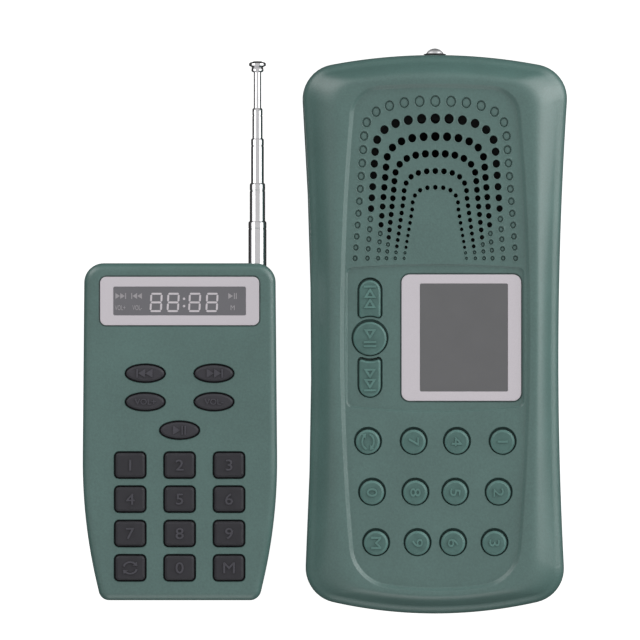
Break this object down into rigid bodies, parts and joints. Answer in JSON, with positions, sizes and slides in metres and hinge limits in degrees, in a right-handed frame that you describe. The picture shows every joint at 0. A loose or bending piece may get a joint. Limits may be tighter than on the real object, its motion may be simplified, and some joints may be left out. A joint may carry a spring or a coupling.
{
  "type": "electronic game caller with remote",
  "caption": "Hand-sized sound player with an arched speaker grille, display and keypad, beside its keypad remote with a telescopic antenna.",
  "frame": {"origin": "centre of the caller's flat rear face, which rests on the ground", "axes": "+Y along the caller to its speaker end, +Z out of the key side, +X to the right of the keys; the remote lies on its back at -X"},
  "size_m": [0.1737, 0.2023, 0.045],
  "materials": {
    "case_plastic": "fine spark-eroded texture, satin",
    "remote_case_plastic": "fine spark-eroded texture, satin",
    "lens": "clear acrylic with a printed silver frame behind it",
    "display": "liquid crystal panel in a black frame",
    "speaker_metal": "black pressed steel",
    "speaker_paper": "treated black paper",
    "board": "green solder mask",
    "mat": "translucent silicone",
    "cell_sleeve": "shrink sleeve",
    "contact": "nickel-plated spring steel",
    "screw": "zinc-plated",
    "black_plastic": "satin",
    "button_chrome": "polished",
    "caller_keys": "matte silicone with raised marks",
    "remote_keys": "matte silicone with raised marks",
    "antenna_chrome": "polished"
  },
  "bodies": {
    "caller": {"front_shell": "case_plastic", "rear_shell": "case_plastic", "display_lens": "lens", "display_module": "display", "speaker_frame": "speaker_metal", "speaker_cone": "speaker_paper", "circuit_board": "board", "keypad_mat": "mat", "battery_cells": "cell_sleeve", "battery_contacts": "contact", "case_screws": "screw", "power_switch": "black_plastic"},
    "caller_door": {"battery_door": "case_plastic"},
    "caller_power": {"power_button": "button_chrome"},
    "remote": {"remote_front_shell": "remote_case_plastic", "remote_rear_shell": "remote_case_plastic", "remote_display_lens": "lens", "remote_display_module": "display", "remote_circuit_board": "board", "remote_battery_cells": "cell_sleeve", "remote_case_screws": "screw", "antenna_bush": "black_plastic"},
    "remote_door": {"remote_battery_door": "remote_case_plastic"},
    "antenna_1": {"antenna_tube_1": "antenna_chrome"},
    "antenna_2": {"antenna_tube_2": "antenna_chrome"},
    "antenna_3": {"antenna_tube_3": "antenna_chrome"},
    "antenna_4": {"antenna_tube_4": "antenna_chrome"},
    "antenna_5": {"antenna_rod": "antenna_chrome"},
    "press_key_previous": {"key_previous": "caller_keys"},
    "press_key_play": {"key_play": "caller_keys"},
    "press_key_next": {"key_next": "caller_keys"},
    "press_key_repeat": {"key_repeat": "caller_keys"},
    "press_key_7": {"key_7": "caller_keys"},
    "press_key_4": {"key_4": "caller_keys"},
    "press_key_1": {"key_1": "caller_keys"},
    "press_key_0": {"key_0": "caller_keys"},
    "press_key_8": {"key_8": "caller_keys"},
    "press_key_5": {"key_5": "caller_keys"},
    "press_key_2": {"key_2": "caller_keys"},
    "press_key_menu": {"key_menu": "caller_keys"},
    "press_key_9": {"key_9": "caller_keys"},
    "press_key_6": {"key_6": "caller_keys"},
    "press_key_3": {"key_3": "caller_keys"},
    "press_remote_key_previous": {"remote_key_previous": "remote_keys"},
    "press_remote_key_next": {"remote_key_next": "remote_keys"},
    "press_remote_key_volume_up": {"remote_key_volume_up": "remote_keys"},
    "press_remote_key_volume_down": {"remote_key_volume_down": "remote_keys"},
    "press_remote_key_play": {"remote_key_play": "remote_keys"},
    "press_remote_key_1": {"remote_key_1": "remote_keys"},
    "press_remote_key_2": {"remote_key_2": "remote_keys"},
    "press_remote_key_3": {"remote_key_3": "remote_keys"},
    "press_remote_key_4": {"remote_key_4": "remote_keys"},
    "press_remote_key_5": {"remote_key_5": "remote_keys"},
    "press_remote_key_6": {"remote_key_6": "remote_keys"},
    "press_remote_key_7": {"remote_key_7": "remote_keys"},
    "press_remote_key_8": {"remote_key_8": "remote_keys"},
    "press_remote_key_9": {"remote_key_9": "remote_keys"},
    "press_remote_key_repeat": {"remote_key_repeat": "remote_keys"},
    "press_remote_key_0": {"remote_key_0": "remote_keys"},
    "press_remote_key_menu": {"remote_key_menu": "remote_keys"}
  },
  "joints": [
    {"name": "remote_lift", "type": "slide", "parent": "caller", "child": "remote", "axis": [0, 0, 1], "range_m": [0, 0.08]},
    {"name": "antenna_slide_1", "type": "slide", "parent": "remote", "child": "antenna_1", "axis": [0, 1, 0], "range_m": [-0.0141, 0.0332]},
    {"name": "antenna_slide_2", "type": "slide", "parent": "antenna_1", "child": "antenna_2", "axis": [0, 1, 0], "range_m": [-0.0127, 0.04]},
    {"name": "antenna_slide_3", "type": "slide", "parent": "antenna_2", "child": "antenna_3", "axis": [0, 1, 0], "range_m": [-0.0151, 0.0365]},
    {"name": "antenna_slide_4", "type": "slide", "parent": "antenna_3", "child": "antenna_4", "axis": [0, 1, 0], "range_m": [-0.0099, 0.04]},
    {"name": "antenna_slide_5", "type": "slide", "parent": "antenna_4", "child": "antenna_5", "axis": [0, 1, 0], "range_m": [-0.0122, 0.037]},
    {"name": "battery_door_slide", "type": "slide", "parent": "caller", "child": "caller_door", "axis": [0, -1, 0], "range_m": [0, 0.06]},
    {"name": "remote_door_slide", "type": "slide", "parent": "remote", "child": "remote_door", "axis": [0, -1, 0], "range_m": [0, 0.04]},
    {"name": "power_press", "type": "slide", "parent": "caller", "child": "caller_power", "axis": [0, -1, 0], "range_m": [0, 0.0009], "stiffness_N_per_m": 600},
    {"name": "key_previous_press", "type": "slide", "parent": "caller", "child": "press_key_previous", "axis": [0, 0, -1], "range_m": [0, 0.0008], "stiffness_N_per_m": 400},
    {"name": "key_play_press", "type": "slide", "parent": "caller", "child": "press_key_play", "axis": [0, 0, -1], "range_m": [0, 0.0008], "stiffness_N_per_m": 400},
    {"name": "key_next_press", "type": "slide", "parent": "caller", "child": "press_key_next", "axis": [0, 0, -1], "range_m": [0, 0.0008], "stiffness_N_per_m": 400},
    {"name": "key_repeat_press", "type": "slide", "parent": "caller", "child": "press_key_repeat", "axis": [0, 0, -1], "range_m": [0, 0.0008], "stiffness_N_per_m": 400},
    {"name": "key_7_press", "type": "slide", "parent": "caller", "child": "press_key_7", "axis": [0, 0, -1], "range_m": [0, 0.0008], "stiffness_N_per_m": 400},
    {"name": "key_4_press", "type": "slide", "parent": "caller", "child": "press_key_4", "axis": [0, 0, -1], "range_m": [0, 0.0008], "stiffness_N_per_m": 400},
    {"name": "key_1_press", "type": "slide", "parent": "caller", "child": "press_key_1", "axis": [0, 0, -1], "range_m": [0, 0.0008], "stiffness_N_per_m": 400},
    {"name": "key_0_press", "type": "slide", "parent": "caller", "child": "press_key_0", "axis": [0, 0, -1], "range_m": [0, 0.0008], "stiffness_N_per_m": 400},
    {"name": "key_8_press", "type": "slide", "parent": "caller", "child": "press_key_8", "axis": [0, 0, -1], "range_m": [0, 0.0008], "stiffness_N_per_m": 400},
    {"name": "key_5_press", "type": "slide", "parent": "caller", "child": "press_key_5", "axis": [0, 0, -1], "range_m": [0, 0.0008], "stiffness_N_per_m": 400},
    {"name": "key_2_press", "type": "slide", "parent": "caller", "child": "press_key_2", "axis": [0, 0, -1], "range_m": [0, 0.0008], "stiffness_N_per_m": 400},
    {"name": "key_menu_press", "type": "slide", "parent": "caller", "child": "press_key_menu", "axis": [0, 0, -1], "range_m": [0, 0.0008], "stiffness_N_per_m": 400},
    {"name": "key_9_press", "type": "slide", "parent": "caller", "child": "press_key_9", "axis": [0, 0, -1], "range_m": [0, 0.0008], "stiffness_N_per_m": 400},
    {"name": "key_6_press", "type": "slide", "parent": "caller", "child": "press_key_6", "axis": [0, 0, -1], "range_m": [0, 0.0008], "stiffness_N_per_m": 400},
    {"name": "key_3_press", "type": "slide", "parent": "caller", "child": "press_key_3", "axis": [0, 0, -1], "range_m": [0, 0.0008], "stiffness_N_per_m": 400},
    {"name": "remote_key_previous_press", "type": "slide", "parent": "remote", "child": "press_remote_key_previous", "axis": [0, 0, -1], "range_m": [0, 0.0007], "stiffness_N_per_m": 400},
    {"name": "remote_key_next_press", "type": "slide", "parent": "remote", "child": "press_remote_key_next", "axis": [0, 0, -1], "range_m": [0, 0.0007], "stiffness_N_per_m": 400},
    {"name": "remote_key_volume_up_press", "type": "slide", "parent": "remote", "child": "press_remote_key_volume_up", "axis": [0, 0, -1], "range_m": [0, 0.0007], "stiffness_N_per_m": 400},
    {"name": "remote_key_volume_down_press", "type": "slide", "parent": "remote", "child": "press_remote_key_volume_down", "axis": [0, 0, -1], "range_m": [0, 0.0007], "stiffness_N_per_m": 400},
    {"name": "remote_key_play_press", "type": "slide", "parent": "remote", "child": "press_remote_key_play", "axis": [0, 0, -1], "range_m": [0, 0.0007], "stiffness_N_per_m": 400},
    {"name": "remote_key_1_press", "type": "slide", "parent": "remote", "child": "press_remote_key_1", "axis": [0, 0, -1], "range_m": [0, 0.0007], "stiffness_N_per_m": 400},
    {"name": "remote_key_2_press", "type": "slide", "parent": "remote", "child": "press_remote_key_2", "axis": [0, 0, -1], "range_m": [0, 0.0007], "stiffness_N_per_m": 400},
    {"name": "remote_key_3_press", "type": "slide", "parent": "remote", "child": "press_remote_key_3", "axis": [0, 0, -1], "range_m": [0, 0.0007], "stiffness_N_per_m": 400},
    {"name": "remote_key_4_press", "type": "slide", "parent": "remote", "child": "press_remote_key_4", "axis": [0, 0, -1], "range_m": [0, 0.0007], "stiffness_N_per_m": 400},
    {"name": "remote_key_5_press", "type": "slide", "parent": "remote", "child": "press_remote_key_5", "axis": [0, 0, -1], "range_m": [0, 0.0007], "stiffness_N_per_m": 400},
    {"name": "remote_key_6_press", "type": "slide", "parent": "remote", "child": "press_remote_key_6", "axis": [0, 0, -1], "range_m": [0, 0.0007], "stiffness_N_per_m": 400},
    {"name": "remote_key_7_press", "type": "slide", "parent": "remote", "child": "press_remote_key_7", "axis": [0, 0, -1], "range_m": [0, 0.0007], "stiffness_N_per_m": 400},
    {"name": "remote_key_8_press", "type": "slide", "parent": "remote", "child": "press_remote_key_8", "axis": [0, 0, -1], "range_m": [0, 0.0007], "stiffness_N_per_m": 400},
    {"name": "remote_key_9_press", "type": "slide", "parent": "remote", "child": "press_remote_key_9", "axis": [0, 0, -1], "range_m": [0, 0.0007], "stiffness_N_per_m": 400},
    {"name": "remote_key_repeat_press", "type": "slide", "parent": "remote", "child": "press_remote_key_repeat", "axis": [0, 0, -1], "range_m": [0, 0.0007], "stiffness_N_per_m": 400},
    {"name": "remote_key_0_press", "type": "slide", "parent": "remote", "child": "press_remote_key_0", "axis": [0, 0, -1], "range_m": [0, 0.0007], "stiffness_N_per_m": 400},
    {"name": "remote_key_menu_press", "type": "slide", "parent": "remote", "child": "press_remote_key_menu", "axis": [0, 0, -1], "range_m": [0, 0.0007], "stiffness_N_per_m": 400}
  ]
}
